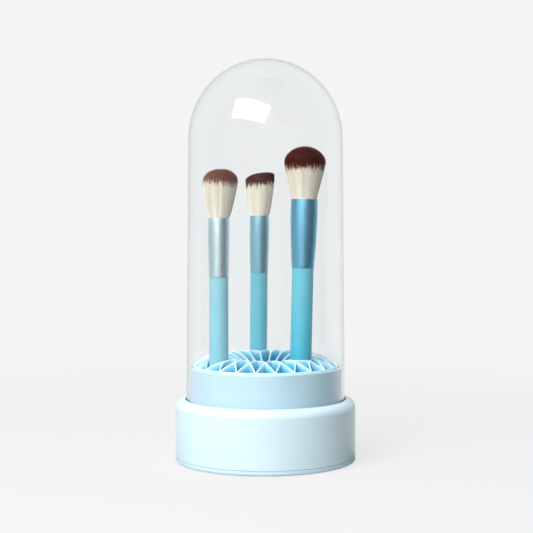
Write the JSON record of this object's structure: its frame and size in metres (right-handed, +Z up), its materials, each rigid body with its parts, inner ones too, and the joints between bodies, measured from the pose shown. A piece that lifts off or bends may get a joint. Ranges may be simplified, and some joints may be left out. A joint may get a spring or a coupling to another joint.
{
  "type": "brush cleaner",
  "caption": "Electric spin brush cleaner with a round geared base, a lift-out wash bowl, a petal grip rack holding make-up brushes and a clear dust dome.",
  "frame": {"origin": "centre of the base on the surface that it stands on", "axes": "+Z up along the dome's axis, +X to the right, +Y towards the back with the port and the button"},
  "size_m": [0.112, 0.112, 0.2494],
  "materials": {
    "icy_shell": "satin moulded ABS",
    "blue_shell": "satin moulded ABS",
    "bowl_plastic": "smooth moulded ABS",
    "dark_rubber": "matt soft rubber",
    "zinc_steel": "zinc-plated steel",
    "polished_steel": "ground and polished steel",
    "sintered_bronze": "oil-soaked sintered bronze",
    "natural_plastic": "natural moulded plastic",
    "black_plastic": "black moulded plastic",
    "ferrite": "sintered ferrite",
    "battery_sleeve": "shrink sleeve",
    "solder_mask": "green solder mask",
    "lead_sleeve": "insulated wire",
    "clear_lens": "clear light pipe",
    "copper_winding": "enamelled copper wire on laminations",
    "gear_plastic": "acetal",
    "pad_silicone": "soft translucent silicone",
    "handle_acrylic": "frosted translucent acrylic",
    "silver_ferrule": "anodised, light teal",
    "teal_ferrule": "anodised teal",
    "blue_ferrule": "anodised blue",
    "bristle_fibre": "fine two-tone synthetic fibre",
    "clear_dome": "clear polished acrylic"
  },
  "bodies": {
    "base": {"base_housing": "icy_shell", "bottom_cover": "blue_shell", "foot_pads": "dark_rubber", "cover_screws": "zinc_steel", "gear_plate": "natural_plastic", "plate_screws": "zinc_steel", "motor_can": "zinc_steel", "motor_end_cap": "black_plastic", "motor_magnets": "ferrite", "motor_sleeve": "dark_rubber", "idler_axle": "polished_steel", "upper_bearing": "polished_steel", "lower_bush": "sintered_bronze", "shaft_seal": "dark_rubber", "battery_cell": "battery_sleeve", "battery_cradle": "natural_plastic", "circuit_board": "solder_mask", "usb_socket": "polished_steel", "tact_switch": "black_plastic", "status_lens": "clear_lens", "battery_leads": "lead_sleeve", "motor_leads": "lead_sleeve"},
    "rotor": {"motor_shaft": "polished_steel", "motor_armature": "copper_winding", "motor_pinion": "gear_plastic"},
    "idler": {"compound_gear": "gear_plastic"},
    "spindle": {"drive_shaft": "polished_steel", "output_gear": "gear_plastic", "drive_hub": "blue_shell", "shaft_clip": "zinc_steel"},
    "bowl": {"wash_bowl": "bowl_plastic", "scrub_mat": "pad_silicone"},
    "rack": {"rack_plate": "blue_shell", "grip_pad": "pad_silicone"},
    "left_brush": {"left_handle": "handle_acrylic", "left_ferrule": "silver_ferrule", "left_bristles": "bristle_fibre"},
    "middle_brush": {"middle_handle": "handle_acrylic", "middle_ferrule": "teal_ferrule", "middle_bristles": "bristle_fibre"},
    "right_brush": {"right_handle": "handle_acrylic", "right_ferrule": "blue_ferrule", "right_bristles": "bristle_fibre"},
    "dome": {"dust_dome": "clear_dome"},
    "button": {"power_button": "icy_shell"}
  },
  "joints": [
    {"name": "spindle_spin", "type": "hinge", "parent": "base", "child": "spindle", "pos_m": [0, 0, 0.02], "axis": [0, 0, 1], "continuous": true},
    {"name": "idler_spin", "type": "hinge", "parent": "base", "child": "idler", "pos_m": [-0.018, 0, 0.015], "axis": [0, 0, 1], "continuous": true},
    {"name": "motor_spin", "type": "hinge", "parent": "base", "child": "rotor", "pos_m": [-0.0348, 0, 0.012], "axis": [0, 0, 1], "continuous": true},
    {"name": "bowl_lift", "type": "slide", "parent": "spindle", "child": "bowl", "axis": [0, 0, 1], "range_m": [0, 0.012]},
    {"name": "rack_lift", "type": "slide", "parent": "bowl", "child": "rack", "axis": [0, 0, 1], "range_m": [0, 0.022]},
    {"name": "left_brush_lift", "type": "slide", "parent": "rack", "child": "left_brush", "axis": [0, 0.0135, 0.9999], "range_m": [0, 0.025]},
    {"name": "middle_brush_lift", "type": "slide", "parent": "rack", "child": "middle_brush", "axis": [0.008, -0.005, 1], "range_m": [0, 0.025]},
    {"name": "right_brush_lift", "type": "slide", "parent": "rack", "child": "right_brush", "axis": [0.022, 0.017, 0.9996], "range_m": [0, 0.025]},
    {"name": "dome_lift", "type": "slide", "parent": "base", "child": "dome", "axis": [0, 0, 1], "range_m": [0, 0.19]},
    {"name": "button_press", "type": "slide", "parent": "base", "child": "button", "axis": [0, -1, 0], "range_m": [0, 0.0006], "stiffness_N_per_m": 1200}
  ],
  "couplings": [
    {"joint": "idler_spin", "follows": "spindle_spin", "ratio": -4},
    {"joint": "motor_spin", "follows": "spindle_spin", "ratio": 18.4}
  ]
}
